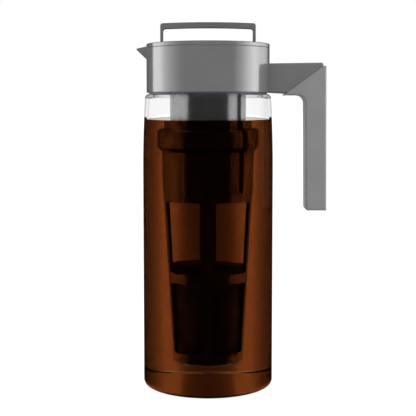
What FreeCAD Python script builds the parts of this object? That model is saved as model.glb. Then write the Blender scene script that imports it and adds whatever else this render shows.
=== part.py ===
"""Cold brew coffee maker: clear pitcher, collar with beak and handle, lid and infuser.

The origin is the middle of the flat base, +Z is up and +X points to the handle.
All sizes are in millimetres and live in the spreadsheet "Sizes".
"""
import FreeCAD, Part
import math
import os
import re
import Sketcher

SIZES = {
    # clear pitcher
    "pitcher_radius": 53.3,
    "wall": 2.3,
    "floor": 2.0,
    "foot_round": 4.0,
    "taper_start": 176.0,
    "taper_rise": 60.0,
    "taper_curve": 980.0,
    "shoulder_top": 239.8,
    "shoulder_round": 3.3,
    "neck_radius": 47.6,
    "neck_wall": 2.4,
    "neck_top": 266.0,
    # collar, with its pouring beak
    "collar_radius": 50.2,
    "collar_bottom": 240.9,
    "collar_top": 277.0,
    "collar_bore": 47.25,
    "fit_gap": 0.2,
    "beak_root": 46.0,
    "beak_tip": 58.3,
    "beak_half_width": 12.5,
    "beak_root_top": 278.6,
    "beak_root_bottom": 264.0,
    "beak_tip_top": 276.7,
    "beak_tip_bottom": 275.7,
    "beak_wall": 1.3,
    "beak_floor": 3.4,
    # handle: the arm and core are part of the collar, the sleeve is soft
    "arm_half_depth": 11.0,
    "arm_root": 46.0,
    "arm_root_top": 264.4,
    "arm_end_top": 265.1,
    "arm_end_bottom": 240.2,
    "seam_low_across": 63.1,
    "seam_high_across": 93.7,
    "seam_high_up": 262.4,
    "seam_slope": 0.726,
    "sleeve_half_depth": 11.8,
    "sleeve_underside": 238.8,
    "grip_inside": 78.7,
    "grip_outside": 95.8,
    "grip_lean": 0.9,
    "grip_bottom": 145.0,
    "grip_corner": 6.2,
    "grip_edge": 3.0,
    "sleeve_wall": 2.3,
    "core_half_depth": 8.5,
    "core_bottom": 149.5,
    "core_gap": 0.15,
    # lid cap: a flange with a deep recess, and two blocks that hold the bail
    "lid_radius": 50.2,
    "lid_top": 280.3,
    "skirt_radius": 46.3,
    "recess_radius": 44.9,
    "recess_floor": 270.8,
    "lid_sheet": 2.0,
    "block_inside": 39.3,
    "block_outside": 45.6,
    "block_half_width": 7.0,
    "block_top": 279.4,
    "socket_depth": 42.2,
    # lid plug and its gasket
    "plug_radius": 43.9,
    "plug_wall": 2.2,
    "plug_bottom": 254.0,
    "groove_bottom": 257.3,
    "groove_height": 3.4,
    "gasket_play": 0.12,
    "gasket_reach": 44.9,
    # tube that carries the infuser
    "tube_radius": 31.1,
    "tube_wall": 2.5,
    "tube_bottom": 218.5,
    "tube_flange": 35.5,
    "tube_ledge": 237.8,
    "ledge_reach": 2.8,
    # carrying bail
    "bail_half_width": 38.75,
    "bail_leg": 2.1,
    "bail_half_depth": 4.5,
    "bail_shoulder": 296.9,
    "bail_thickness": 4.3,
    "bail_bow": 790.0,
    "pivot_height": 275.8,
    "pin_radius": 2.05,
    "pin_play": 0.05,
    "pin_length": 2.9,
    # infuser
    "infuser_neck": 27.1,
    "infuser_neck_bore": 25.1,
    "infuser_neck_top": 236.0,
    "ring_radius": 31.4,
    "ring_shoulder": 212.0,
    "ring_top": 208.2,
    "ring_low": 196.3,
    "ring_foot": 192.7,
    "basket_top": 28.45,
    "basket_bend": 27.9,
    "basket_bend_height": 161.0,
    "basket_sill": 27.1,
    "basket_sill_height": 153.5,
    "basket_foot": 21.3,
    "basket_bottom": 20.0,
    "basket_wall": 2.1,
    "rib_half_width": 4.5,
    "window_corner": 2.0,
    "upper_window_top": 152.8,
    "upper_window_bottom": 94.5,
    "lower_window_top": 86.8,
    "lower_window_bottom": 29.0,
    # mesh lining of the infuser's windows
    "mesh_sheet": 0.5,
    "mesh_gap": 0.05,
    "mesh_lap": 1.6,
    "mesh_sweep": 75.0,
}
TAPER_STEPS = 4
WINDOW_COLUMNS = 4
FULL_TURN = 360.0
NEAR = 0.02

doc = FreeCAD.newDocument("ColdBrewMaker")
sheet = doc.addObject("Spreadsheet::Sheet", "Sizes")
for row, (alias, number) in enumerate(SIZES.items(), start=1):
    sheet.set(f"A{row}", alias)
    sheet.set(f"B{row}", str(number))
    sheet.setAlias(f"B{row}", alias)
doc.recompute()

nodes = []


# ---------------------------------------------------------------- helpers
def bound(expression):
    """Write every alias in an expression as a reference to the sheet."""
    def reference(word):
        name = word.group()
        return "Sizes." + name if name in SIZES else name
    return re.sub(r"[a-z][a-z_]+", reference, str(expression))


def value(expression):
    """The number that an expression over the sheet's aliases comes to."""
    return float(sheet.evalExpression(bound(expression)))


def new_body(node):
    """Start the body of one sub-part; its label names the sub-part."""
    body = doc.addObject("PartDesign::Body", node)
    body.Label = node
    nodes.append(body)
    return body


def tie(sketch, direction, curve, end, expression):
    """Hold one corner of a sketch at a distance from the sketch's axis."""
    if str(expression) == "0":
        axis = -2 if direction == "X" else -1
        sketch.addConstraint(Sketcher.Constraint("PointOnObject", curve, end, axis))
        return
    size = value(expression)
    index = sketch.addConstraint(
        Sketcher.Constraint("Distance" + direction, -1, 1, curve, end, size))
    name = f"corner{curve}{direction.lower()}"
    sketch.renameConstraint(index, name)
    sketch.setExpression("Constraints." + name, bound(expression))


def arc_between(start, finish, radius):
    """An arc from start to finish; a negative radius has its centre on the right."""
    chord = finish - start
    half = chord.Length / 2
    left = FreeCAD.Vector(-chord.y, chord.x, 0).normalize()
    side = math.copysign(1, radius)
    centre = (start + finish) / 2 + left * side * math.sqrt(radius ** 2 - half ** 2)
    first, last = (start, finish) if radius > 0 else (finish, start)
    angles = [math.atan2(p.y - centre.y, p.x - centre.x) for p in (first, last)]
    circle = Part.Circle(centre, FreeCAD.Vector(0, 0, 1), abs(radius))
    return Part.ArcOfCircle(circle, angles[0], angles[1])


def new_sketch(body, name, plane):
    """Start a sketch on one of the body's origin planes."""
    sketch = body.newObject("Sketcher::SketchObject", name)
    support = [f for f in body.Origin.OriginFeatures if f.Role == plane]
    sketch.AttachmentSupport = [(support[0], "")]
    sketch.MapMode = "FlatFace"
    return sketch


def outline(body, name, plane, corners, offset=None):
    """Draw a closed outline on one of the body's origin planes.

    Each corner is (across, up) in expressions over the sheet. A third entry
    makes the edge that leaves the corner an arc of that radius.
    """
    sketch = new_sketch(body, name, plane)
    if offset is not None:
        sketch.setExpression("AttachmentOffset.Base.z", bound(offset))
    points = [FreeCAD.Vector(value(c[0]), value(c[1]), 0) for c in corners]
    starts = []
    ends = []
    for i, corner in enumerate(corners):
        start, finish = points[i], points[(i + 1) % len(points)]
        radius = value(corner[2]) if len(corner) > 2 else None
        if radius is None:
            sketch.addGeometry(Part.LineSegment(start, finish))
        else:
            sketch.addGeometry(arc_between(start, finish, radius))
        backwards = radius is not None and radius < 0
        starts.append(2 if backwards else 1)
        ends.append(1 if backwards else 2)
    for i, corner in enumerate(corners):
        after = (i + 1) % len(corners)
        sketch.addConstraint(Sketcher.Constraint("Coincident", i, ends[i], after, starts[after]))
        tie(sketch, "X", i, starts[i], corner[0])
        tie(sketch, "Y", i, starts[i], corner[1])
        if len(corner) > 2:
            index = sketch.addConstraint(
                Sketcher.Constraint("Radius", i, abs(value(corner[2]))))
            sketch.renameConstraint(index, f"bend{i}")
            sketch.setExpression(f"Constraints.bend{i}", f"abs({bound(corner[2])})")
    doc.recompute()
    return sketch


def circle_outline(body, name, plane, up, radius):
    """Draw a circle centred on the up axis of one of the body's origin planes."""
    sketch = new_sketch(body, name, plane)
    centre = FreeCAD.Vector(0, value(up), 0)
    sketch.addGeometry(Part.Circle(centre, FreeCAD.Vector(0, 0, 1), value(radius)))
    tie(sketch, "X", 0, 3, 0)
    tie(sketch, "Y", 0, 3, up)
    index = sketch.addConstraint(Sketcher.Constraint("Radius", 0, value(radius)))
    sketch.renameConstraint(index, "size")
    sketch.setExpression("Constraints.size", bound(radius))
    doc.recompute()
    return sketch


def turned(body, name, corners, sweep=None):
    """Turn an outline in the XZ plane about the pitcher's axis into solid material."""
    sketch = outline(body, name + "_outline", "XZ_Plane", corners)
    feature = body.newObject("PartDesign::Revolution", name)
    feature.Profile = sketch
    feature.ReferenceAxis = (sketch, ["V_Axis"])
    feature.Angle = FULL_TURN
    if sweep is not None:
        feature.Midplane = True
        feature.setExpression("Angle", bound(sweep))
    doc.recompute()


def turned_away(body, name, corners):
    """Turn an outline in the XZ plane about the pitcher's axis and cut it away."""
    sketch = outline(body, name + "_outline", "XZ_Plane", corners)
    feature = body.newObject("PartDesign::Groove", name)
    feature.Profile = sketch
    feature.ReferenceAxis = (sketch, ["V_Axis"])
    feature.Angle = FULL_TURN
    doc.recompute()


def pressed(body, name, sketch, depth, cut=False):
    """Pad a sketch, or cut it as a pocket, by half of the depth to each side."""
    kind = "PartDesign::Pocket" if cut else "PartDesign::Pad"
    feature = body.newObject(kind, name)
    feature.Profile = sketch
    feature.Midplane = True
    feature.setExpression("Length", bound(depth))
    doc.recompute()


def lofted(body, name, root, tip, cut=False):
    """Stretch material, or a cut, straight from one outline to another."""
    kind = "PartDesign::SubtractiveLoft" if cut else "PartDesign::AdditiveLoft"
    feature = body.newObject(kind, name)
    feature.Profile = root
    feature.Sections = [tip]
    feature.Ruled = True
    doc.recompute()


def dressed(kind, size_name, body, name, size, wanted):
    """Fillet or chamfer every edge of the body that the test wanted(edge) picks."""
    base = body.Tip
    picked = []
    for number, edge in enumerate(base.Shape.Edges, start=1):
        if wanted(edge):
            picked.append(f"Edge{number}")
    if not picked:
        raise ValueError(f"{body.Label}: no edge found for {name}")
    feature = body.newObject(kind, name)
    feature.Base = (base, picked)
    feature.setExpression(size_name, bound(size))
    doc.recompute()


def rounded(body, name, radius, wanted):
    """Round the picked edges."""
    dressed("PartDesign::Fillet", "Radius", body, name, radius, wanted)


def bevelled(body, name, size, wanted):
    """Break the picked edges with a narrow chamfer."""
    dressed("PartDesign::Chamfer", "Size", body, name, size, wanted)


def rings(*places):
    """Test for circular edges about the axis at any of the (radius, height) places."""
    sizes = [(value(radius), value(height)) for radius, height in places]

    def wanted(edge):
        box = edge.BoundBox
        if not hasattr(edge.Curve, "Radius") or box.ZLength > NEAR:
            return False
        return any(abs(edge.Curve.Radius - r) < NEAR and abs(box.ZMin - z) < NEAR
                   for r, z in sizes)
    return wanted


def crossways(*places):
    """Test for straight edges along Y at any of the (across, up) places."""
    sizes = [(value(across), value(up)) for across, up in places]

    def wanted(edge):
        box = edge.BoundBox
        if box.XLength > NEAR or box.ZLength > NEAR:
            return False
        return any(abs(box.XMin - x) < NEAR and abs(box.ZMin - z) < NEAR for x, z in sizes)
    return wanted


# ---------------------------------------------------------------- pitcher
def make_pitcher_body():
    """The clear pitcher: flat foot, drawn-in top, round shoulder and thin neck."""
    body = new_body("pitcher_body")
    steps = [f"taper_rise * {step / TAPER_STEPS}" for step in range(1, TAPER_STEPS + 1)]
    outer = [(f"pitcher_radius - ({step})^2 / (2 * taper_curve)", f"taper_start + {step}")
             for step in steps]
    inner = [(f"{radius} - wall", height) for radius, height in reversed(outer)]
    shoulder = outer[-1][0]
    turned(body, "pitcher_shell", [
        ("0", "0"),
        ("pitcher_radius", "0"),
        ("pitcher_radius", "taper_start"),
        *outer,
        (shoulder, "shoulder_top"),
        ("neck_radius", "shoulder_top"),
        ("neck_radius", "neck_top"),
        ("neck_radius - neck_wall", "neck_top"),
        ("neck_radius - neck_wall", "shoulder_top - wall"),
        (f"{shoulder} - wall", "shoulder_top - wall"),
        *inner,
        ("pitcher_radius - wall", "taper_start"),
        ("pitcher_radius - wall", "floor"),
        ("0", "floor"),
    ])
    rounded(body, "foot_corner", "foot_round", rings(("pitcher_radius", "0")))
    rounded(body, "shoulder_corner", "shoulder_round", rings((shoulder, "shoulder_top")))
    rounded(body, "inner_corner", "foot_round - floor",
            rings(("pitcher_radius - wall", "floor")))
    bevelled(body, "inner_shoulder", "wall / 2",
             rings((f"{shoulder} - wall", "shoulder_top - wall")))
    bevelled(body, "neck_rim", "neck_wall / 4",
             rings(("neck_radius", "neck_top"), ("neck_radius - neck_wall", "neck_top")))


def make_neck_seal():
    """Flat silicone ring between the pitcher's shoulder and the collar."""
    body = new_body("neck_seal")
    turned(body, "seal_ring", [
        ("neck_radius + fit_gap / 4", "shoulder_top"),
        ("neck_radius + fit_gap * 3", "shoulder_top"),
        ("neck_radius + fit_gap * 3", "collar_bottom"),
        ("neck_radius + fit_gap / 4", "collar_bottom"),
    ])


# ---------------------------------------------------------------- collar and handle
def beak_outline(body, name, plane_at, half_width, top, bottom, blunt):
    """One V-shaped section of the beak, across the pouring direction."""
    return outline(body, name, "YZ_Plane", [
        (f"0 - {blunt}", bottom),
        (blunt, bottom),
        (half_width, top),
        (f"0 - {half_width}", top),
    ], offset=f"0 - ({plane_at})")


def core_corners(gap):
    """Corners of the handle core's side view, grown by a gap."""
    return [
        ("seam_low_across + 1", f"sleeve_underside + sleeve_wall * 2 - {gap}"),
        (f"grip_inside - sleeve_wall - {gap}", f"sleeve_underside + sleeve_wall * 2 - {gap}"),
        (f"grip_inside + sleeve_wall - {gap}", f"sleeve_underside - {gap}"),
        (f"grip_inside + grip_lean + sleeve_wall - {gap}", f"core_bottom - {gap}"),
        (f"grip_outside + grip_lean - sleeve_wall + {gap}", f"core_bottom - {gap}"),
        (f"grip_outside - sleeve_wall + {gap}", f"seam_high_up - sleeve_wall * 2 + {gap}"),
        ("seam_high_across - sleeve_wall * 3", f"seam_high_up - sleeve_wall + {gap}"),
    ]


def make_collar():
    """Collar ring, pouring beak, handle arm and the core that carries the grip."""
    body = new_body("collar")
    arm = outline(body, "arm_outline", "XZ_Plane", [
        ("arm_root", "collar_bottom"),
        ("collar_radius", "collar_bottom"),
        ("seam_low_across", "arm_end_bottom"),
        ("seam_high_across", "seam_high_up"),
        ("seam_high_across", "arm_end_top"),
        ("arm_root", "arm_root_top"),
    ])
    pressed(body, "arm", arm, "arm_half_depth * 2")
    rounded(body, "arm_corner", "grip_edge * 0.75",
            crossways(("seam_high_across", "arm_end_top")))
    rounded(body, "arm_edges", "grip_edge * 0.6", on_arm_side)
    core = outline(body, "core_outline", "XZ_Plane", core_corners("0"))
    pressed(body, "core", core, "core_half_depth * 2")
    bevel = "fit_gap * 2"
    turned(body, "collar_ring", [
        ("0", "collar_bottom"),
        (f"collar_radius - {bevel}", "collar_bottom"),
        ("collar_radius", f"collar_bottom + {bevel}"),
        ("collar_radius", f"collar_top - {bevel}"),
        (f"collar_radius - {bevel}", "collar_top"),
        ("0", "collar_top"),
    ])
    root = beak_outline(body, "beak_root_section", "beak_root", "beak_half_width",
                        "beak_root_top", "beak_root_bottom", "beak_floor + beak_wall * 0.8")
    tip = beak_outline(body, "beak_tip_section", "beak_tip", "beak_wall",
                       "beak_tip_top", "beak_tip_bottom", "beak_wall / 2")
    lofted(body, "beak", root, tip)
    turned_away(body, "collar_bore", [
        ("0", "collar_bottom - 2"),
        ("neck_radius + fit_gap", "collar_bottom - 2"),
        ("neck_radius + fit_gap", "neck_top"),
        ("collar_bore", "neck_top"),
        ("collar_bore", "collar_top"),
        ("collar_radius + fit_gap * 2", "collar_top"),
        ("collar_radius + fit_gap * 2", "lid_top"),
        ("0", "lid_top"),
    ])
    inner_root = beak_outline(body, "channel_root_section", "beak_root - 2",
                              "beak_half_width - beak_wall", "beak_root_top + 3",
                              "beak_root_bottom + beak_wall * 2.2", "beak_floor")
    inner_tip = beak_outline(body, "channel_tip_section", "beak_tip - beak_wall",
                             "beak_wall", "beak_tip_top + 1",
                             "beak_tip_bottom + beak_wall / 4", "beak_wall / 3")
    lofted(body, "pour_channel", inner_root, inner_tip, cut=True)


def on_arm_side(edge):
    """Test for the outer edges of the arm's two flat sides, without root and seam."""
    box = edge.BoundBox
    flat = box.YLength < NEAR
    side = abs(abs(box.YMin) - value("arm_half_depth")) < NEAR
    root = box.XMax < value("arm_root") + NEAR
    seam = abs(box.ZLength / max(box.XLength, NEAR) - value("seam_slope")) < NEAR
    return flat and side and not seam and not root


def on_sleeve_side(edge):
    """Test for the edges of the sleeve's two flat sides, without its slanted top."""
    box = edge.BoundBox
    flat = box.YLength < NEAR
    side = abs(abs(box.YMin) - value("sleeve_half_depth")) < NEAR
    ledge = box.ZMin > value("seam_high_up") - NEAR
    seam = abs(box.ZLength / max(box.XLength, NEAR) - value("seam_slope")) < NEAR
    return flat and side and not ledge and not seam


def make_grip_sleeve():
    """Soft sleeve on the handle core, ending at the slanted seam."""
    body = new_body("grip_sleeve")
    seam_foot = "seam_high_across - (seam_high_up - sleeve_underside) / seam_slope"
    side = outline(body, "sleeve_outline", "XZ_Plane", [
        (seam_foot, "sleeve_underside"),
        ("grip_inside", "sleeve_underside"),
        ("grip_inside + grip_lean", "grip_bottom"),
        ("grip_outside + grip_lean", "grip_bottom"),
        ("grip_outside", "seam_high_up"),
        ("seam_high_across", "seam_high_up"),
    ])
    pressed(body, "sleeve", side, "sleeve_half_depth * 2")
    rounded(body, "inner_bend", "grip_corner", crossways(("grip_inside", "sleeve_underside")))
    rounded(body, "low_corners", "grip_edge * 0.7",
            crossways(("grip_inside + grip_lean", "grip_bottom")))
    rounded(body, "sleeve_edges", "grip_edge * 0.6", on_sleeve_side)
    core = outline(body, "socket_outline", "XZ_Plane", core_corners("core_gap"))
    pressed(body, "core_socket", core, "(core_half_depth + core_gap) * 2", cut=True)


# ---------------------------------------------------------------- lid
def make_lid_cap():
    """Lid cap: flange, deep recess, and the two blocks that hold the bail's pins."""
    body = new_body("lid_cap")
    turned(body, "cap_shell", [
        ("0", "recess_floor - lid_sheet"),
        ("skirt_radius", "recess_floor - lid_sheet"),
        ("skirt_radius", "collar_top"),
        ("lid_radius", "collar_top"),
        ("lid_radius", "lid_top"),
        ("recess_radius", "lid_top"),
        ("recess_radius", "recess_floor"),
        ("0", "recess_floor"),
    ])
    bevelled(body, "flange_edge", "fit_gap * 2.5", rings(("lid_radius", "lid_top")))
    bevelled(body, "flange_underside", "fit_gap", rings(("lid_radius", "collar_top")))
    bevelled(body, "recess_edge", "fit_gap * 2", rings(("recess_radius", "lid_top")))
    for side, name in ((1, "right"), (-1, "left")):
        block = outline(body, f"block_outline_{name}", "XZ_Plane", [
            (f"{side} * block_inside", "recess_floor - lid_sheet / 2"),
            (f"{side} * block_outside", "recess_floor - lid_sheet / 2"),
            (f"{side} * block_outside", "block_top"),
            (f"{side} * block_inside", "block_top"),
        ])
        pressed(body, f"block_{name}", block, "block_half_width * 2")
    socket = circle_outline(body, "socket_circle", "YZ_Plane", "pivot_height",
                            "pin_radius + pin_play")
    pressed(body, "pin_sockets", socket, "socket_depth * 2", cut=True)


def make_lid_plug():
    """Lower lid moulding: closes the neck, holds the gasket and the infuser tube."""
    body = new_body("lid_plug")
    top = "recess_floor - lid_sheet"
    groove_floor = "plug_radius - plug_wall"
    turned(body, "plug_shell", [
        ("tube_radius + fit_gap", "plug_bottom"),
        ("plug_radius", "plug_bottom"),
        ("plug_radius", "groove_bottom"),
        (groove_floor, "groove_bottom"),
        (groove_floor, "groove_bottom + groove_height"),
        ("plug_radius", "groove_bottom + groove_height"),
        ("plug_radius", top),
        ("plug_radius - plug_wall * 2", top),
        ("plug_radius - plug_wall * 2", "plug_bottom + plug_wall"),
        ("tube_radius + fit_gap", "plug_bottom + plug_wall"),
    ])
    bevelled(body, "plug_edge", "plug_wall / 2", rings(("plug_radius", "plug_bottom")))


def make_lid_gasket():
    """Silicone ring in the plug's groove, which closes the neck and the beak."""
    body = new_body("lid_gasket")
    inside = "plug_radius - plug_wall + gasket_play"
    bottom = "groove_bottom + gasket_play"
    top = "groove_bottom + groove_height - gasket_play"
    turned(body, "gasket_ring", [
        (inside, bottom),
        ("gasket_reach", bottom),
        ("gasket_reach", top),
        (inside, top),
    ])
    bevelled(body, "gasket_lip", "groove_height / 4",
             rings(("gasket_reach", bottom), ("gasket_reach", top)))


def make_lid_tube():
    """Tube under the lid, closed at the top, that the infuser screws into."""
    body = new_body("lid_tube")
    seat = "plug_bottom + plug_wall"
    bore = "tube_radius - tube_wall"
    turned(body, "tube_shell", [
        (bore, "tube_bottom"),
        ("tube_radius", "tube_bottom"),
        ("tube_radius", seat),
        ("tube_flange", seat),
        ("tube_flange", f"{seat} + lid_sheet"),
        ("0", f"{seat} + lid_sheet"),
        ("0", seat),
        (bore, seat),
        (bore, "tube_ledge + lid_sheet"),
        (f"{bore} - ledge_reach", "tube_ledge + lid_sheet"),
        (f"{bore} - ledge_reach", "tube_ledge"),
        (bore, "tube_ledge"),
    ])
    bevelled(body, "tube_rim", "tube_wall / 4",
             rings(("tube_radius", "tube_bottom"), (bore, "tube_bottom")))


def make_bail():
    """Carrying bail: two flat legs, a slightly bowed bar and two moulded pins."""
    body = new_body("bail")
    inside = "bail_half_width - bail_leg"
    under = "bail_shoulder - bail_thickness"
    hoop = outline(body, "hoop_outline", "XZ_Plane", [
        ("bail_half_width", "pivot_height"),
        ("bail_half_width", "bail_shoulder", "bail_bow"),
        ("0 - bail_half_width", "bail_shoulder"),
        ("0 - bail_half_width", "pivot_height"),
        (f"0 - ({inside})", "pivot_height"),
        (f"0 - ({inside})", under, "0 - bail_bow"),
        (inside, under),
        (inside, "pivot_height"),
    ])
    pressed(body, "hoop", hoop, "bail_half_depth * 2")
    rounded(body, "hoop_corners", "bail_leg", crossways(
        ("bail_half_width", "bail_shoulder"), ("0 - bail_half_width", "bail_shoulder")))
    rounded(body, "hoop_haunches", "bail_leg",
            crossways((inside, under), (f"0 - ({inside})", under)))
    eyes = circle_outline(body, "eye_circle", "YZ_Plane", "pivot_height", "bail_half_depth")
    pressed(body, "leg_eyes", eyes, "bail_half_width * 2")
    gap = outline(body, "eye_gap_outline", "XZ_Plane", [
        (f"0 - ({inside})", "pivot_height - bail_half_depth * 2"),
        (inside, "pivot_height - bail_half_depth * 2"),
        (inside, "pivot_height + bail_half_depth * 2"),
        (f"0 - ({inside})", "pivot_height + bail_half_depth * 2"),
    ])
    pressed(body, "eye_gap", gap, "bail_half_depth * 4", cut=True)
    pins = circle_outline(body, "pin_circle", "YZ_Plane", "pivot_height", "pin_radius")
    pressed(body, "pins", pins, "(bail_half_width + pin_length) * 2")
    between = outline(body, "pin_gap_outline", "XZ_Plane", [
        (f"0 - ({inside})", "pivot_height - bail_half_depth"),
        (inside, "pivot_height - bail_half_depth"),
        (inside, "pivot_height + bail_half_depth"),
        (f"0 - ({inside})", "pivot_height + bail_half_depth"),
    ])
    pressed(body, "pin_gap", between, "bail_half_depth * 2", cut=True)


# ---------------------------------------------------------------- infuser
def make_infuser_gasket():
    """Flat silicone ring between the infuser's neck and the ledge in the tube."""
    body = new_body("infuser_gasket")
    turned(body, "gasket_ring", [
        ("infuser_neck_bore + fit_gap", "infuser_neck_top + mesh_gap"),
        ("tube_radius - tube_wall - fit_gap", "infuser_neck_top + mesh_gap"),
        ("tube_radius - tube_wall - fit_gap", "tube_ledge - mesh_gap"),
        ("infuser_neck_bore + fit_gap", "tube_ledge - mesh_gap"),
    ])


def window_edges(edge):
    """Test for the corner edges of the windows, which run straight through the wall."""
    box = edge.BoundBox
    heights = ("upper_window_top", "upper_window_bottom",
               "lower_window_top", "lower_window_bottom")
    level = any(abs(box.ZMin - value(height)) < NEAR for height in heights)
    rib = value("rib_half_width")
    beside = min(abs(abs(box.XMin) - rib) + box.XLength, abs(abs(box.YMin) - rib) + box.YLength)
    return box.ZLength < NEAR and level and beside < NEAR


def make_infuser_frame():
    """Infuser frame: neck, grip ring, four ribs, middle band and closed foot."""
    body = new_body("infuser_frame")
    foot_bore = "basket_foot - basket_wall"
    turned(body, "frame_shell", [
        ("0", "basket_bottom"),
        ("basket_foot", "basket_bottom"),
        ("basket_sill", "basket_sill_height"),
        ("basket_bend", "basket_bend_height"),
        ("basket_top", "ring_foot"),
        ("ring_radius", "ring_low"),
        ("ring_radius", "ring_shoulder"),
        ("infuser_neck", "ring_shoulder"),
        ("infuser_neck", "infuser_neck_top"),
        ("infuser_neck_bore", "infuser_neck_top"),
        ("infuser_neck_bore", "ring_low"),
        ("basket_top - basket_wall", "ring_foot"),
        ("basket_bend - basket_wall", "basket_bend_height"),
        ("basket_sill - basket_wall", "basket_sill_height"),
        (foot_bore, "basket_bottom + basket_wall"),
        ("0", "basket_bottom + basket_wall"),
    ])
    rounded(body, "foot_corner", "basket_wall", rings(("basket_foot", "basket_bottom")))
    rounded(body, "ring_corner", "ring_shoulder - ring_top",
            rings(("ring_radius", "ring_shoulder")))
    for tier in ("upper", "lower"):
        opening = outline(body, f"{tier}_window_outline", "XZ_Plane", [
            ("rib_half_width", f"{tier}_window_bottom"),
            ("ring_radius", f"{tier}_window_bottom"),
            ("ring_radius", f"{tier}_window_top"),
            ("rib_half_width", f"{tier}_window_top"),
        ], offset="0 - ring_radius")
        cut = body.newObject("PartDesign::Pocket", f"{tier}_window")
        cut.Profile = opening
        cut.Midplane = False
        cut.Reversed = True
        cut.setExpression("Length", bound("ring_radius - rib_half_width"))
        doc.recompute()
        axis = [f for f in body.Origin.OriginFeatures if f.Role == "Z_Axis"][0]
        pattern = body.newObject("PartDesign::PolarPattern", f"{tier}_windows")
        pattern.Originals = [cut]
        pattern.Axis = (axis, [""])
        pattern.Angle = FULL_TURN
        pattern.Occurrences = WINDOW_COLUMNS
        body.Tip = pattern
        doc.recompute()
    rounded(body, "window_corners", "window_corner", window_edges)


def make_mesh(tier, column):
    """One mesh panel, bonded inside the frame behind a window."""
    body = new_body(f"mesh_{tier}_{column + 1}")
    bore_foot = "(basket_bottom + basket_wall)"
    slope = f"(basket_sill - basket_foot) / (basket_sill_height - {bore_foot})"
    low = f"({tier}_window_bottom - mesh_lap)"
    high = f"({tier}_window_top + mesh_lap)"
    if tier == "upper":
        high = f"({tier}_window_top)"
    face = "basket_foot - basket_wall - mesh_gap"
    at_low = f"{face} + ({low} - {bore_foot}) * {slope}"
    at_high = f"{face} + ({high} - {bore_foot}) * {slope}"
    turned(body, "panel", [
        (f"{at_low} - mesh_sheet", low),
        (at_low, low),
        (at_high, high),
        (f"{at_high} - mesh_sheet", high),
    ], sweep="mesh_sweep")
    quarter = FULL_TURN / WINDOW_COLUMNS
    turn = FreeCAD.Rotation(FreeCAD.Vector(0, 0, 1), quarter * (column + 0.5))
    body.Placement = FreeCAD.Placement(FreeCAD.Vector(0, 0, 0), turn)


make_pitcher_body()
make_neck_seal()
make_collar()
make_grip_sleeve()
make_lid_cap()
make_lid_plug()
make_lid_gasket()
make_lid_tube()
make_bail()
make_infuser_gasket()
make_infuser_frame()
for tier in ("upper", "lower"):
    for column in range(WINDOW_COLUMNS):
        make_mesh(tier, column)
doc.recompute()

# ---------------------------------------------------------------- checks and export
for item in doc.Objects:
    if "Invalid" in item.State or "Error" in item.State:
        raise RuntimeError(f"{item.Name} failed: {item.State}")
os.makedirs("parts", exist_ok=True)
for body in nodes:
    shape = body.Shape
    if shape.isNull() or not shape.isValid():
        raise RuntimeError(f"{body.Label} has no valid shape")
    shape.exportStep(f"parts/{body.Label}.step")
    print(f"{body.Label}: {len(shape.Solids)} solid, {shape.Volume / 1000:.2f} cm3")
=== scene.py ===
"""Looks of the cold brew coffee maker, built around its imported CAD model.

The origin is the middle of the flat base, +Z is up, +X points to the handle and the
camera looks along +Y. Profiles are in millimetres; objects are in metres. Directions
round the object are in degrees to the right of the camera's side.
"""
import math
import random

import bmesh
import bpy
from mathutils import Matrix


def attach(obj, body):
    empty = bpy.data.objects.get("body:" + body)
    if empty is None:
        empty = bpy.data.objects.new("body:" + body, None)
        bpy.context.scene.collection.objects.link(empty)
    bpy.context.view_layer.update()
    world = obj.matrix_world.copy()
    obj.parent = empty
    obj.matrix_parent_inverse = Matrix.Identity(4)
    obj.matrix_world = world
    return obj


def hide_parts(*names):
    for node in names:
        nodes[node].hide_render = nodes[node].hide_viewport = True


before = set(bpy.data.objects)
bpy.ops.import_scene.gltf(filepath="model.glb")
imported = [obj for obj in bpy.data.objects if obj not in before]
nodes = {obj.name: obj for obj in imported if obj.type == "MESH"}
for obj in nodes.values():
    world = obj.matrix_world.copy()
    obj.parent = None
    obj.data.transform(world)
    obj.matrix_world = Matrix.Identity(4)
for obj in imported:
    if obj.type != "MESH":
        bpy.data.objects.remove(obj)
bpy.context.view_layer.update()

MM = 0.001
SEED = 7
scene = bpy.context.scene

# ---------------------------------------------------------------- steps and sizes, mm
# steps round the axis or along a curve
SEGMENTS = 256
GROUNDS_SEGMENTS = 96
THREAD_STEPS = 72
ROUND_STEPS = 10
INNER_ROUND_STEPS = 6
TAPER_STEPS = 12
CLIMB_STEPS = 8

# clear pitcher
PITCHER_R = 53.29
WALL = 2.3
FLOOR = 2.0
FOOT_ROUND = 4.0
FOOT_LOOK_TOP = 12.0
TAPER_START = 176.0
TAPER_END = 236.0
TAPER_CURVE = 980.0
SHOULDER_TOP = 239.8
SHOULDER_ROUND = 3.3
SHOULDER_INNER_ROUND = 1.15
NECK_R = 47.6
NECK_BORE = 45.2
NECK_TOP = 266.0
NECK_BEVEL = 0.6

# brewed coffee, whose level slopes down towards the camera's side
COFFEE_LEVEL = 219.5
COFFEE_TILT = 0.022
COFFEE_OVERLAP = 0.03
COFFEE_FLAT_R = 40.0
COFFEE_CLIMB = 0.25
CLIMB_WIDTH = 1.6
CLIMB_FADE = 0.4

# infuser's basket, whose bore widens upwards by a slope, and the grounds in it
BASKET_FOOT = 22.1
BASKET_BORE = 19.2
BASKET_SLOPE = 5.8 / 131.4
BASKET_MIDDLE_R = 24.0
GROUNDS_GAP = 0.7
GROUNDS_BOTTOM = 22.5
GROUNDS_EDGE = 100.0
GROUNDS_TOP = 104.4
GROUNDS_R = 22.0
GROUNDS_ROUGH = 0.45
GROUNDS_RIPPLE = 0.06

# screw threads; the run-out is a share of a turn
THREAD_ROOT = 0.4
THREAD_RUN_OUT = 0.08

# woven screen; half a thread's width is a share of the pitch
SCREEN_PITCH = 0.6
SCREEN_THREAD = 0.022


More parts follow.
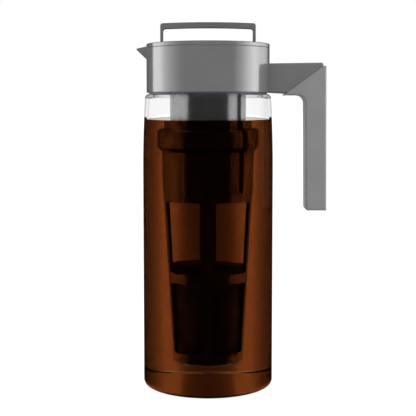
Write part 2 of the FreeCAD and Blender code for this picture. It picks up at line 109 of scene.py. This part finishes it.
# ---------------------------------------------------------------- mesh helpers
def finished(name, bm, body=None, smooth_angle=32):
    """Turn a bmesh into an object, which rides on a body if one is given."""
    bmesh.ops.recalc_face_normals(bm, faces=bm.faces)
    mesh = bpy.data.meshes.new(name)
    bm.to_mesh(mesh)
    bm.free()
    mesh.shade_smooth()
    mesh.set_sharp_from_angle(angle=math.radians(smooth_angle))
    obj = bpy.data.objects.new(name, mesh)
    scene.collection.objects.link(obj)
    if body:
        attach(obj, body)
    return obj


def lathe(profile, segments=SEGMENTS, wobble=None):
    """Turn a profile of (radius, height) points, in mm, about the axis.

    A radius of 0 makes a pole. wobble(angle, radius, height) may shift a point.
    """
    bm = bmesh.new()
    rows = []
    for radius, height in profile:
        if radius < 1e-6:
            rows.append([bm.verts.new((0, 0, height * MM))])
            continue
        row = []
        for k in range(segments):
            angle = 2 * math.pi * k / segments
            r, z = wobble(angle, radius, height) if wobble else (radius, height)
            row.append(bm.verts.new((r * math.cos(angle) * MM, r * math.sin(angle) * MM, z * MM)))
        rows.append(row)
    for low, high in zip(rows, rows[1:]):
        for k in range(segments):
            after = (k + 1) % segments
            if len(low) == 1:
                bm.faces.new((low[0], high[after], high[k]))
            elif len(high) == 1:
                bm.faces.new((low[k], low[after], high[0]))
            else:
                bm.faces.new((low[k], low[after], high[after], high[k]))
    return bm


def arc(cx, cz, radius, start, end, steps=ROUND_STEPS):
    """Points on an arc, angles in degrees."""
    points = []
    for i in range(steps + 1):
        a = math.radians(start + (end - start) * i / steps)
        points.append((cx + radius * math.cos(a), cz + radius * math.sin(a)))
    return points


def wall_radius(height):
    """Outer radius of the pitcher at a height."""
    over = min(max(height - TAPER_START, 0), TAPER_END - TAPER_START)
    return PITCHER_R - over ** 2 / (2 * TAPER_CURVE)


def taper(offset):
    """Points up the drawn-in top of the pitcher, offset inwards."""
    rise = TAPER_END - TAPER_START
    heights = [TAPER_START + rise * i / TAPER_STEPS for i in range(TAPER_STEPS + 1)]
    return [(wall_radius(h) - offset, h) for h in heights]


def helix_ridge(radius, rise, pitch, turns, bottom, width):
    """A thread ridge wound round the axis, fading in and out at its ends."""
    bm = bmesh.new()
    rows = []
    total = int(turns * THREAD_STEPS)
    for i in range(total + 1):
        angle = 2 * math.pi * i / THREAD_STEPS
        height = bottom + pitch * i / THREAD_STEPS
        fade = min(1.0, min(i, total - i) / (THREAD_STEPS * THREAD_RUN_OUT))
        root = radius - THREAD_ROOT
        crest = radius + rise * fade
        section = ((root, -width / 2), (crest, -width / 5), (crest, width / 5),
                   (root, width / 2))
        rows.append([bm.verts.new((r * math.cos(angle) * MM, r * math.sin(angle) * MM,
                                   (height + z) * MM)) for r, z in section])
    for low, high in zip(rows, rows[1:]):
        for k in range(4):
            after = (k + 1) % 4
            bm.faces.new((low[k], low[after], high[after], high[k]))
    bm.faces.new(rows[0])
    bm.faces.new(reversed(rows[-1]))
    return bm


# ---------------------------------------------------------------- node helpers
class Nodes:
    """A short way to write a node tree."""

    def __init__(self, tree):
        self.tree = tree
        tree.nodes.clear()

    def add(self, kind, inputs=None, **settings):
        """A node with its settings, and a socket or a constant for each input."""
        node = self.tree.nodes.new(kind)
        for key, setting in settings.items():
            setattr(node, key, setting)
        for key, source in (inputs or {}).items():
            if isinstance(source, bpy.types.NodeSocket):
                self.tree.links.new(source, node.inputs[key])
            else:
                node.inputs[key].default_value = source
        return node

    def shader(self, kind, inputs=None):
        """A shader node's one output."""
        return self.add(kind, inputs).outputs[0]

    def emission(self, strength):
        return self.shader("ShaderNodeEmission", {"Color": WHITE, "Strength": strength})

    def blend(self, share, first, second):
        """Mix two shaders; the share is the second one's."""
        return self.shader("ShaderNodeMixShader", {0: share, 1: first, 2: second})

    def blend_values(self, share, first, second):
        node = self.add("ShaderNodeMix", {0: share, 2: first, 3: second}, data_type="FLOAT")
        return node.outputs[0]

    def blend_colours(self, share, first, second, way="MIX"):
        node = self.add("ShaderNodeMix", {0: share, 6: first, 7: second}, data_type="RGBA",
                        blend_type=way)
        return node.outputs[2]

    def math(self, operation, first, second=0.0):
        return self.add("ShaderNodeMath", {0: first, 1: second}, operation=operation).outputs[0]

    def above(self, factor, limit):
        return self.math("GREATER_THAN", factor, limit)

    def below(self, factor, limit):
        return self.math("LESS_THAN", factor, limit)

    def ramp(self, factor, stops):
        """A smooth change between (position, colour or grey level) stops."""
        node = self.add("ShaderNodeValToRGB", {0: factor})
        elements = node.color_ramp.elements
        while len(elements) < len(stops):
            elements.new(0.5)
        for element, (position, colour) in zip(elements, stops):
            element.position = position
            if not hasattr(colour, "__len__"):
                colour = (colour, colour, colour)
            element.color = (*colour, 1)
        return node.outputs[0]

    def place(self):
        """The place on the object, which every pattern follows."""
        return self.add("ShaderNodeTexCoord").outputs["Object"]

    def parts(self, vector):
        """The x, y and z of a vector."""
        return self.add("ShaderNodeSeparateXYZ", {0: vector}).outputs

    def facing(self):
        """0 where a surface is seen square on, 1 where it is seen edge on."""
        return self.add("ShaderNodeLayerWeight", {"Blend": 0.5}).outputs["Facing"]

    def behind(self):
        """1 where a ray meets a surface from inside the piece."""
        return self.add("ShaderNodeNewGeometry").outputs["Backfacing"]

    def ray(self):
        """The kind of ray that looks, and what it has met so far."""
        return self.add("ShaderNodeLightPath").outputs

    def noise(self, scale, detail=2.0, roughness=0.5):
        node = self.add("ShaderNodeTexNoise", {"Vector": self.place(), "Scale": scale,
                                               "Detail": detail, "Roughness": roughness})
        return node.outputs["Fac"]

    def cells(self, scale):
        """Rounded cells, for pebbles and crumbs."""
        return self.add("ShaderNodeTexVoronoi", {"Vector": self.place(), "Scale": scale}).outputs

    def spread(self, factor, low, high):
        """Map a 0.3 to 0.7 factor onto low to high."""
        node = self.add("ShaderNodeMapRange", {0: factor, 1: 0.3, 2: 0.7, 3: low, 4: high})
        return node.outputs[0]

    def tinted(self, factor, colour, spread):
        """A colour that varies a little with a factor."""
        low = [c * (1 - spread) for c in colour]
        high = [c * (1 + spread) for c in colour]
        return self.ramp(factor, [(0.3, low), (0.7, high)])

    def bump(self, height, distance, strength):
        node = self.add("ShaderNodeBump", {"Height": height, "Distance": distance,
                                           "Strength": strength})
        return node.outputs[0]

    def ripple(self, scale, strength):
        """The slow waves in a moulded clear wall or a still liquid."""
        return self.bump(self.noise(scale=scale), distance=0.1 * MM, strength=strength)

    def output(self, surface, kind="ShaderNodeOutputMaterial"):
        return self.add(kind, {"Surface": surface})


def new_material(name):
    """A material with an empty node tree."""
    material = bpy.data.materials.new(name)
    material.use_nodes = True
    return material, Nodes(material.node_tree)


# ---------------------------------------------------------------- opaque materials
GREY = (0.168, 0.168, 0.169)
DARK = (0.042, 0.042, 0.042)
# The dark plastic darkened for the infuser frame in the brew: painted shade.
DARK_BREW_SHADED = (0.014, 0.0135, 0.013)
GRIP = (0.25, 0.25, 0.252)
SEAL = (0.10, 0.12, 0.18)
GROUNDS_DARK = (0.004, 0.002, 0.001)
GROUNDS_LIGHT = (0.02, 0.01, 0.005)
SCREEN_BROWN = (0.02, 0.012, 0.008)
SCREEN_GAP = (0.975, 0.97, 0.965)
WHITE = (1, 1, 1, 1)
WARM_WHITE = (1.0, 0.9, 0.8, 1)


def moulded(name, colour, roughness, mirror_tint=WHITE):
    """Moulded plastic: slight flow mottling, fine surface grain and soft wear."""
    material, n = new_material(name)
    flow = n.noise(scale=22.0, detail=4.0, roughness=0.6)
    grain = n.noise(scale=900.0, detail=3.0, roughness=0.6)
    smudge = n.noise(scale=60.0, detail=5.0, roughness=0.65)
    n.output(n.shader("ShaderNodeBsdfPrincipled", {
        "Base Color": n.tinted(flow, colour, spread=0.05),
        "Roughness": n.spread(smudge, roughness * 0.85, roughness * 1.15),
        "Specular Tint": mirror_tint,
        "Normal": n.bump(grain, distance=0.02 * MM, strength=0.5),
    }))
    return material


def silicone(name, colour, roughness, sheen=0.0):
    """Silicone rubber: matte, with a fine pebbled skin and a faint dusty bloom."""
    material, n = new_material(name)
    pebble = n.cells(scale=1400.0)["Distance"]
    bloom = n.noise(scale=45.0, detail=5.0, roughness=0.65)
    n.output(n.shader("ShaderNodeBsdfPrincipled", {
        "Base Color": n.tinted(bloom, colour, spread=0.04),
        "Roughness": n.spread(bloom, roughness * 0.9, roughness * 1.1),
        "Sheen Weight": sheen,
        "Normal": n.bump(pebble, distance=0.03 * MM, strength=0.5),
    }))
    return material


def make_grounds():
    """Wet coffee grounds: coarse dark crumbs with damp glints."""
    material, n = new_material("coffee_grounds_look")
    crumb = n.cells(scale=900.0)
    damp = n.noise(scale=70.0, detail=4.0, roughness=0.6)
    n.output(n.shader("ShaderNodeBsdfPrincipled", {
        "Base Color": n.ramp(crumb["Color"], [(0.1, GROUNDS_DARK), (0.9, GROUNDS_LIGHT)]),
        "Roughness": n.spread(damp, 0.35, 0.8),
        "Specular IOR Level": 0.2,
        "Normal": n.bump(crumb["Distance"], distance=0.6 * MM, strength=0.9),
    }))
    return material


def make_screen():
    """Fine woven screen: threads round and up the basket, with open gaps between.

    A panel has two faces but one layer of threads, so the face that a ray leaves by is
    clear.
    """
    material, n = new_material("mesh_screen_look")
    x, y, z = n.parts(n.place())
    around = n.math("MULTIPLY", n.math("ARCTAN2", y, x), BASKET_MIDDLE_R / SCREEN_PITCH)
    up = n.math("DIVIDE", z, SCREEN_PITCH * MM)
    threads = []
    for run in (around, up):
        from_middle = n.math("ABSOLUTE", n.math("SUBTRACT", n.math("FRACT", run), 0.5))
        threads.append(n.below(from_middle, SCREEN_THREAD))
    entered = n.math("SUBTRACT", 1.0, n.behind())
    cover = n.math("MULTIPLY", n.math("MAXIMUM", *threads), entered)
    weave = n.math("MULTIPLY", n.math("SINE", n.math("MULTIPLY", around, math.pi)),
                   n.math("SINE", n.math("MULTIPLY", up, math.pi)))
    stain = n.noise(scale=80.0, detail=4.0, roughness=0.6)
    thread = n.shader("ShaderNodeBsdfPrincipled", {
        "Base Color": n.tinted(stain, SCREEN_BROWN, spread=0.2),
        "Roughness": n.spread(stain, 0.4, 0.6),
        "Specular IOR Level": 0.15,
        "Normal": n.bump(weave, distance=0.1 * MM, strength=0.6),
    })
    gap = n.shader("ShaderNodeBsdfTransparent", {0: n.tinted(stain, SCREEN_GAP, spread=0.02)})
    n.output(n.blend(cover, gap, thread))
    return material


# ---------------------------------------------------------------- clear materials
PLASTIC_IOR = 1.5
COFFEE_IOR = 1.333
BREW = (0.481, 0.261, 0.135)
BREW_SOAK = (0.7, 0.45, 0.18, 1)
BREW_DENSITY = 12.0
BREW_MIRROR = (0.86, 0.77, 0.66, 1)
BREW_LEVEL_TINT = (0.99, 0.985, 0.98, 1)
WALL_MIRROR_TINT = (0.9, 0.9, 0.9, 1)
RIM_MIRROR_TINT = (0.5, 0.5, 0.5, 1)
# Tint and share of mirroring, by how far a surface is seen edge on, from 0 to 1.
WALL_TINT = [(0.0, (0.99, 0.99, 0.988)), (0.7, (0.97, 0.97, 0.97))]
# Painted shade: with contour, the wall darkens towards its edges far more than its longer path
# would soak up.
WALL_EDGE_SHADE = [(0.86, (0.7, 0.72, 0.74)), (0.97, (0.3, 0.32, 0.34))]
WALL_MIRROR = [(0.0, 0.016), (0.5, 0.02), (0.8, 0.06), (1.0, 0.3)]
# Painted shade: grey contours towards the rim's edges, where light passes unbent.
RIM_EDGE_SHADE = [(0.0, 0.985), (0.45, 0.95), (0.7, 0.8), (0.9, 0.55)]
RIM_MIRROR = [(0.0, 0.04), (0.5, 0.06), (0.8, 0.2), (1.0, 0.6)]
# Painted shade: the brew's upright side darkens towards its edges, by these stops.
BREW_EDGE_SHADE = [(0.0, 1.0), (0.125, 1.0), (0.138, 0.88), (0.162, 0.62), (0.208, 0.335),
                (0.263, 0.227)]
# How far a face of the brew points up or down, from 0 to 1.
UPRIGHT = 0.06
LEANING = 0.3
FLAT = 0.95


def make_clear(name, outside=False, inside=False, contour=False):
    """Clear copolyester: a faint ripple from moulding.

    outside tells if it mirrors towards the air, inside if it mirrors within the wall,
    and contour if it is darker where seen edge on, with painted shade far beyond what the
    longer path through the wall would soak up. The rest of the thin wall's faint
    mirroring is left out, for a clean view through.
    """
    material, n = new_material(name)
    # with contour, the tint darkens towards the edges: painted shade
    tint = n.ramp(n.facing(), WALL_TINT + WALL_EDGE_SHADE if contour else WALL_TINT)
    ripple = n.ripple(scale=18.0, strength=0.04)
    haze = n.spread(n.noise(scale=160.0, detail=4.0, roughness=0.6), 0.0, 0.01)
    through = n.shader("ShaderNodeBsdfRefraction", {
        "Color": tint, "Roughness": haze, "IOR": PLASTIC_IOR, "Normal": ripple})
    front = through
    back = through
    if outside:
        mirror = n.shader("ShaderNodeBsdfGlossy", {
            "Color": WALL_MIRROR_TINT, "Roughness": haze, "Normal": ripple})
        front = n.blend(n.ramp(n.facing(), WALL_MIRROR), through, mirror)
    if inside:
        back = n.shader("ShaderNodeBsdfPrincipled", {
            "Base Color": tint,
            "Roughness": haze,
            "IOR": PLASTIC_IOR,
            "Specular Tint": (0, 0, 0, 1),
            "Transmission Weight": 1.0,
            "Normal": ripple,
        })
    n.output(n.blend(n.behind(), front, back))
    return material


def make_rim():
    """The clear shoulder and neck, too tightly curved to show more than grey contours: light
    passes through them unbent, and the grey towards their edges is painted shade.
    """
    material, n = new_material("clear_rim_look")
    ripple = n.ripple(scale=18.0, strength=0.08)
    haze = n.spread(n.noise(scale=160.0, detail=4.0, roughness=0.6), 0.02, 0.05)
    # light passes unbent; the grey towards the edges is painted shade
    through = n.shader("ShaderNodeBsdfRefraction", {
        "Color": n.ramp(n.facing(), RIM_EDGE_SHADE), "Roughness": 0.0, "IOR": 1.0,
        "Normal": ripple})
    mirror = n.shader("ShaderNodeBsdfGlossy", {
        "Color": RIM_MIRROR_TINT, "Roughness": haze, "Normal": ripple})
    n.output(n.blend(n.ramp(n.facing(), RIM_MIRROR), through, mirror))
    return material


def make_coffee():
    """Brewed coffee: a clear brown liquid that soaks up blue light first.

    Where it wets the pitcher it doesn't mirror, and its upright side is darker where
    seen edge on, with painted shade; its open surface mirrors. One material serves all its
    faces, so that light is soaked up once, whichever way it comes in and leaves.
    """
    material, n = new_material("brewed_coffee_look")
    height = n.parts(n.place())[2]
    normal = n.add("ShaderNodeTexCoord").outputs["Normal"]
    flatness = n.math("ABSOLUTE", n.parts(normal)[2])
    upper_half = n.above(height, COFFEE_LEVEL / 2 * MM)
    open_surface = n.math("MULTIPLY", upper_half, n.above(flatness, LEANING))
    level = n.math("MAXIMUM", open_surface, n.above(flatness, FLAT))
    upright = n.below(flatness, UPRIGHT)
    swirl = n.tinted(n.noise(scale=30.0, detail=3.0), BREW, spread=0.015)
    # painted shade towards the edges of the brew's upright side
    contour = n.ramp(n.facing(), BREW_EDGE_SHADE)
    side = n.blend_colours(upright, swirl, contour, way="MULTIPLY")
    ripple = n.ripple(scale=40.0, strength=0.02)
    through = n.shader("ShaderNodeBsdfRefraction", {
        "Color": n.blend_colours(level, side, BREW_LEVEL_TINT),
        "Roughness": 0.0, "IOR": COFFEE_IOR, "Normal": ripple})
    mirror = n.shader("ShaderNodeBsdfGlossy", {
        "Color": BREW_MIRROR, "Roughness": 0.02, "Normal": ripple})
    fresnel = n.add("ShaderNodeFresnel", {"IOR": COFFEE_IOR, "Normal": ripple}).outputs[0]
    share = n.math("MULTIPLY", fresnel, open_surface)
    soak = n.shader("ShaderNodeVolumeAbsorption", {"Color": BREW_SOAK, "Density": BREW_DENSITY})
    n.add("ShaderNodeOutputMaterial", {"Surface": n.blend(share, through, mirror),
                                       "Volume": soak})
    return material


# ---------------------------------------------------------------- pieces
SKIN, INNER, WETTED, FOOT, RIM = range(5)


def make_clear_looks():
    """The looks of the pitcher's faces, in the order of SKIN, INNER, WETTED, FOOT, RIM."""
    return [make_clear("clear_skin_look", outside=True, contour=True),
            make_clear("clear_inner_look", inside=True, contour=True),
            make_clear("clear_wetted_look"),
            make_clear("clear_foot_look", outside=True, inside=True),
            make_rim()]


def face_look(face):
    """Which of the pitcher's looks a face takes, by where it is."""
    middle = face.center / MM
    out = math.hypot(middle.x, middle.y)
    inner = out < wall_radius(middle.z) - WALL / 2 and middle.z > FLOOR / 2
    if middle.z > TAPER_END or (inner and middle.z > TAPER_END - 1):
        return RIM
    if inner:
        return WETTED if middle.z < COFFEE_LEVEL else INNER
    return FOOT if middle.z < FOOT_LOOK_TOP else SKIN


def make_pitcher():
    """The clear pitcher with true arcs where the solid has short cones."""
    shoulder_r = wall_radius(TAPER_END) - SHOULDER_ROUND
    profile = [(0, 0)]
    profile += arc(PITCHER_R - FOOT_ROUND, FOOT_ROUND, FOOT_ROUND, -90, 0)
    profile += [(PITCHER_R, FOOT_LOOK_TOP), *taper(0)]
    profile += arc(shoulder_r, SHOULDER_TOP - SHOULDER_ROUND, SHOULDER_ROUND, 0, 90)
    profile += [(NECK_R, SHOULDER_TOP), (NECK_R, NECK_TOP - NECK_BEVEL),
                (NECK_R - NECK_BEVEL, NECK_TOP), (NECK_BORE + NECK_BEVEL, NECK_TOP),
                (NECK_BORE, NECK_TOP - NECK_BEVEL), (NECK_BORE, SHOULDER_TOP - WALL)]
    turn = SHOULDER_INNER_ROUND
    profile += arc(wall_radius(TAPER_END) - WALL - turn, SHOULDER_TOP - WALL - turn, turn,
                   90, 0, INNER_ROUND_STEPS)
    profile += reversed(taper(WALL))
    corner = FOOT_ROUND - FLOOR
    profile += arc(PITCHER_R - WALL - corner, FOOT_ROUND, corner, 0, -90)
    profile += [(0, FLOOR)]
    pitcher = finished("clear_pitcher", lathe(profile), "pitcher")
    for look in make_clear_looks():
        pitcher.data.materials.append(look)
    for face in pitcher.data.polygons:
        face.material_index = face_look(face)
    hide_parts("pitcher_body")


def make_coffee_body():
    """The brew, one full volume that wets the wall and climbs it a little.

    The points of the climb stand closer together near the wall.
    """
    def side(height):
        return wall_radius(height) - WALL + COFFEE_OVERLAP

    def tilt(angle, radius, height):
        if height < COFFEE_LEVEL - 2:
            return radius, height
        return radius, height + radius * math.sin(angle) * COFFEE_TILT

    corner = FOOT_ROUND - FLOOR
    profile = [(0, FLOOR - COFFEE_OVERLAP)]
    profile += arc(PITCHER_R - WALL - corner, FOOT_ROUND, corner + COFFEE_OVERLAP, -90, 0)
    side_heights = (TAPER_START, 186, 196, 206, 215, COFFEE_LEVEL + COFFEE_CLIMB)
    profile += [(side(height), height) for height in side_heights]
    for i in range(1, CLIMB_STEPS + 1):
        away = CLIMB_WIDTH * (i / CLIMB_STEPS) ** 1.4
        climb = COFFEE_CLIMB * math.exp(-away / CLIMB_FADE)
        profile.append((side(COFFEE_LEVEL) - away, COFFEE_LEVEL + climb))
    profile += [(COFFEE_FLAT_R, COFFEE_LEVEL), (0, COFFEE_LEVEL)]
    coffee = finished("brewed_coffee", lathe(profile, wobble=tilt), "pitcher",
                      smooth_angle=60)
    coffee.data.materials.append(make_coffee())


def make_grounds_body():
    """Settled wet grounds inside the lower half of the infuser, rough on top."""
    draw = random.Random(SEED)
    waves = [(draw.uniform(0, 6.28), draw.randint(2, 9), draw.uniform(0.3, 1.2))
             for _ in range(9)]

    def side(height):
        return BASKET_BORE + (height - BASKET_FOOT) * BASKET_SLOPE - GROUNDS_GAP

    def uneven(angle, radius, height):
        if height > GROUNDS_EDGE - 5:
            rough = sum(size * math.sin(count * angle + phase) for phase, count, size in waves)
            return radius, height + rough * GROUNDS_ROUGH * radius / GROUNDS_R
        return radius + GROUNDS_RIPPLE * math.sin(11 * angle + height), height

    edge_r = side(GROUNDS_EDGE)
    profile = [(0, GROUNDS_BOTTOM), (side(GROUNDS_BOTTOM) - 1, GROUNDS_BOTTOM)]
    profile += [(side(height), height) for height in range(24, 98, 6)]
    profile += [(edge_r, GROUNDS_EDGE), (edge_r - 0.8, 101.2), (17, 101.8), (12, 103), (6, 104),
                (0, GROUNDS_TOP)]
    bm = lathe(profile, GROUNDS_SEGMENTS, wobble=uneven)
    grounds = finished("coffee_grounds", bm, "infuser", smooth_angle=60)
    grounds.data.materials.append(make_grounds())


def make_threads(grey_plastic, dark_plastic):
    """Screw threads on the lid's skirt and on the infuser's neck."""
    ridge = helix_ridge(radius=46.3, rise=0.6, pitch=3.4, turns=1.6, bottom=270.2, width=1.5)
    lid = finished("lid_thread", ridge, "lid")
    lid.data.materials.append(grey_plastic)
    ridge = helix_ridge(radius=27.1, rise=1.1, pitch=5.0, turns=2.4, bottom=220.5, width=2.0)
    neck = finished("infuser_thread", ridge, "infuser")
    neck.data.materials.append(dark_plastic)


def dress_nodes(looks, screen):
    """Give each carried-over solid its look; the mesh panels share the screen's."""
    for name, node in nodes.items():
        if name == "pitcher_body":
            continue
        node.data.materials.clear()
        node.data.materials.append(screen if name.startswith("mesh_") else looks[name])


def make_pieces():
    """Dress the carried-over solids and add the scene's own pieces."""
    grey_plastic = moulded("grey_plastic_look", GREY, roughness=0.11)
    dark_plastic = moulded("dark_plastic_look", DARK, roughness=0.18)
    # a darker copy of the dark plastic for the frame in the brew: painted shade
    brew_shaded_plastic = moulded("wet_plastic_look", DARK_BREW_SHADED, roughness=0.12, mirror_tint=WARM_WHITE)
    grip_silicone = silicone("grip_silicone_look", GRIP, roughness=0.5, sheen=0.5)
    seal_silicone = silicone("seal_silicone_look", SEAL, roughness=0.5)
    dress_nodes({
        "collar": grey_plastic, "lid_cap": grey_plastic, "lid_plug": grey_plastic,
        "bail": grey_plastic, "grip_sleeve": grip_silicone, "neck_seal": seal_silicone,
        "lid_gasket": seal_silicone, "infuser_gasket": seal_silicone,
        "lid_tube": dark_plastic, "infuser_frame": brew_shaded_plastic,
    }, make_screen())
    make_pitcher()
    make_coffee_body()
    make_grounds_body()
    make_threads(grey_plastic, dark_plastic)


# ---------------------------------------------------------------- studio
CAMERA_BACK = 0.834
CAMERA_HEIGHT = 0.229
CAMERA_TILT = 4.62
FLOOR_REACH = 40.0
FLOOR_DROP = 0.4 * MM
FLOOR_GREY = (0.72, 0.72, 0.72)
FLOOR_SHADE = (0.25, 0.25, 0.25, 1)
FLOOR_GLOW = 0.86
# how bright the room is in gloss on the outside
DIM = 0.015
LIGHT_DISTANCE = 1.3
PANEL_BOTTOM = 0.1
PANEL_HEIGHT = 1.2
# Surfaces that a ray passes on its way out of the pitcher: 4 through the dry part and 6
# through the brew, whether it goes straight on or an inner piece mirrors it. A ray that
# only the wall mirrors passes 2, and one that wanders in the walls passes more than 8.
PASSES_INSIDE = (2.5, 8.5)
PASSES_WET_MIRROR = 4.5
PASSES_WET_STRAIGHT = 5.5
# Brightness by direction round the object: (degrees, share of FULL), on the right side
# alone where both sides are alike.
FULL = 10.0
DRY_SIDE = [(62, 0.01), (64, 0.76), (90, 0.62), (110, 0.45), (120, 0.36), (130, 0.27),
            (140, 0.195), (150, 0.13), (160, 0.1), (180, 0.1)]
BREW_SIDE = [(66, 0.01), (68, 0.15), (75, 0.22), (92, 0.36), (114, 0.45), (132, 0.32),
             (150, 0.17), (165, 0.09), (180, 0.03)]
LEFT_PANEL = [(-125, 0.0), (-119, 0.46), (-99, 0.74), (-82, 0.41), (-70, 0.24), (-56, 0.07),
              (-47, 0.0)]
RIGHT_PANEL = [(46, 0.0), (51, 0.06), (64, 0.3), (78, 0.65), (93, 0.84), (111, 0.44),
               (123, 0.3), (137, 0.14), (150, 0.0)]
# The card: (degrees from straight behind, brightness).
CARD = [(0, 0.17), (4.7, 0.2), (8.6, 0.29), (11, 0.48), (13, 0.85), (15, 1.0)]


def turn_of(n, x, y):
    """The direction round the object, 0 to 1, where 0.5 is the camera's side."""
    azimuth = n.math("ARCTAN2", x, n.math("MULTIPLY", y, -1.0))
    return n.math("ADD", n.math("DIVIDE", azimuth, 2 * math.pi), 0.5)


def inner_levels(n, turn):
    """What pieces inside the pitcher mirror: one set of panels in air, one in the brew."""
    levels = []
    for side in (DRY_SIDE, BREW_SIDE):
        both = [(-degrees, level) for degrees, level in reversed(side)] + side
        stops = [(0.5 + degrees / 360, level) for degrees, level in both]
        levels.append(n.math("MULTIPLY", n.ramp(turn, stops), FULL))
    wet = n.above(n.ray()["Transmission Depth"], PASSES_WET_MIRROR)
    return n.blend_values(wet, *levels)


def through_brew(n):
    """1 for a ray that has come straight through the brew, through both its sides."""
    return n.above(n.ray()["Transmission Depth"], PASSES_WET_STRAIGHT)


def behind_level(n, turn):
    """A dark card straight behind the pitcher, which shows through the brew alone."""
    from_front = n.math("MULTIPLY", n.math("ABSOLUTE", n.math("SUBTRACT", turn, 0.5)), 2.0)
    levels = n.ramp(from_front, [(1 - degrees / 180, level) for degrees, level in reversed(CARD)])
    return n.blend_values(through_brew(n), 1.0, levels)


def sorted_rays(n):
    """What kind of look a ray takes: straight to white, mirrored inside, mirrored outside."""
    ray = n.ray()
    mirrored = n.above(ray["Glossy Depth"], 0.5)
    passes = ray["Transmission Depth"]
    between = n.math("MULTIPLY", n.above(passes, PASSES_INSIDE[0]),
                     n.below(passes, PASSES_INSIDE[1]))
    inside = n.math("MULTIPLY", n.math("MULTIPLY", ray["Is Transmission Ray"], between), mirrored)
    clear_view = n.math("MAXIMUM", ray["Is Camera Ray"], ray["Is Transmission Ray"])
    return n.math("SUBTRACT", clear_view, inside), inside, ray["Is Glossy Ray"]


def make_floor():
    """A plain pale floor; the camera sees it white, with the object's faint shadow.

    A ray that comes straight through the brew passes on to the world's card.
    """
    bm = bmesh.new()
    bmesh.ops.create_grid(bm, x_segments=1, y_segments=1, size=FLOOR_REACH)
    bmesh.ops.translate(bm, verts=bm.verts, vec=(0, 0, -FLOOR_DROP))
    floor = finished("floor", bm)
    material, n = new_material("floor_look")

    def matte(colour):
        return n.shader("ShaderNodeBsdfDiffuse", {"Color": colour})

    straight, inside, glossy = sorted_rays(n)
    x, y, _ = n.parts(n.add("ShaderNodeNewGeometry").outputs["Position"])
    plain = matte(n.tinted(n.noise(scale=400.0), FLOOR_GREY, spread=0.01))
    other = n.blend(glossy, plain, matte((DIM, DIM, DIM, 1)))
    mirrored = n.blend(inside, other, n.emission(inner_levels(n, turn_of(n, x, y))))
    white = n.shader("ShaderNodeAddShader", {0: matte(FLOOR_SHADE), 1: n.emission(FLOOR_GLOW)})
    behind = n.blend(through_brew(n), white, n.shader("ShaderNodeBsdfTransparent"))
    n.output(n.blend(straight, mirrored, behind))
    floor.data.materials.append(material)


def make_world():
    """White to the eye and through glass, dim in gloss, an even fill for the rest."""
    world = bpy.data.worlds.new("studio")
    scene.world = world
    world.use_nodes = True
    n = Nodes(world.node_tree)
    x, y, _ = n.parts(n.add("ShaderNodeTexCoord").outputs["Generated"])
    turn = turn_of(n, x, y)
    straight, inside, glossy = sorted_rays(n)

    def light(strength):
        return n.shader("ShaderNodeBackground", {"Color": WHITE, "Strength": strength})

    other = n.blend(glossy, light(1.0), light(DIM))
    mirrored = n.blend(inside, other, light(inner_levels(n, turn)))
    n.output(n.blend(straight, mirrored, light(behind_level(n, turn))), "ShaderNodeOutputWorld")


def make_softbox(name, width, height, radiance):
    """A light panel that the camera doesn't see."""
    data = bpy.data.lights.new(name, "AREA")
    data.shape = "RECTANGLE"
    data.size = width
    data.size_y = height
    data.energy = radiance * math.pi * width * height
    light = bpy.data.objects.new(name, data)
    scene.collection.objects.link(light)
    light.visible_camera = False
    return light


def stand_round(light, degrees, bottom):
    """Stand a panel upright, to face the axis from a direction round the object."""
    a = math.radians(degrees)
    light.location = (LIGHT_DISTANCE * math.sin(a), -LIGHT_DISTANCE * math.cos(a),
                      bottom + light.data.size_y / 2)
    light.rotation_euler = (math.radians(90), 0, a)


def make_gloss_panel(name, stops, receivers):
    """A wide upright panel that only the gloss of the coloured plastics shows.

    It fades across its width by its stops, which are like those round the object.
    """
    middle = (stops[0][0] + stops[-1][0]) / 2

    def across(degrees):
        return LIGHT_DISTANCE * math.tan(math.radians(degrees - middle))

    width = 2 * across(stops[-1][0])
    light = make_softbox(name, width, PANEL_HEIGHT, radiance=1.0)
    stand_round(light, middle, PANEL_BOTTOM)
    light.data.use_nodes = True
    n = Nodes(light.data.node_tree)
    place = n.parts(n.add("ShaderNodeNewGeometry").outputs["Parametric"])[0]
    shares = [(0.5 + across(degrees) / width, level) for degrees, level in stops]
    glow = n.emission(n.math("MULTIPLY", n.ramp(place, shares), FULL))
    n.output(glow, "ShaderNodeOutputLight")
    light.visible_diffuse = False
    light.visible_transmission = False
    light.visible_volume_scatter = False
    light.light_linking.receiver_collection = receivers


def make_lights():
    """Soft lights from both sides and from above, which gloss doesn't show."""
    left = make_softbox("softbox_left", width=0.7, height=1.1, radiance=0.8)
    stand_round(left, degrees=-100, bottom=0.2)
    right = make_softbox("softbox_right", width=0.6, height=1.1, radiance=0.8)
    stand_round(right, degrees=92, bottom=0.2)
    overhead = make_softbox("softbox_top", width=0.9, height=0.8, radiance=1.5)
    overhead.location = (0.0, -0.5, 1.6)
    overhead.rotation_euler = (math.radians(15), 0, 0)
    for light in (left, right, overhead):
        light.visible_glossy = False
        light.visible_transmission = False
    receivers = bpy.data.collections.new("coloured_plastics")
    for name in ("collar", "lid_cap", "bail", "grip_sleeve", "neck_seal"):
        receivers.objects.link(nodes[name])
    make_gloss_panel("panel_left", LEFT_PANEL, receivers)
    make_gloss_panel("panel_right", RIGHT_PANEL, receivers)


def make_camera():
    """Slightly above the middle of the lid, looking a little down."""
    data = bpy.data.cameras.new("camera")
    data.sensor_width = 36.0
    data.lens = 87.73
    data.shift_y = -0.045
    camera = bpy.data.objects.new("camera", data)
    scene.collection.objects.link(camera)
    camera.location = (0.0, -CAMERA_BACK, CAMERA_HEIGHT)
    camera.rotation_euler = (math.radians(90 - CAMERA_TILT), 0, 0)
    scene.camera = camera


make_pieces()
make_floor()
make_world()
make_lights()
make_camera()
scene.view_settings.view_transform = "Standard"
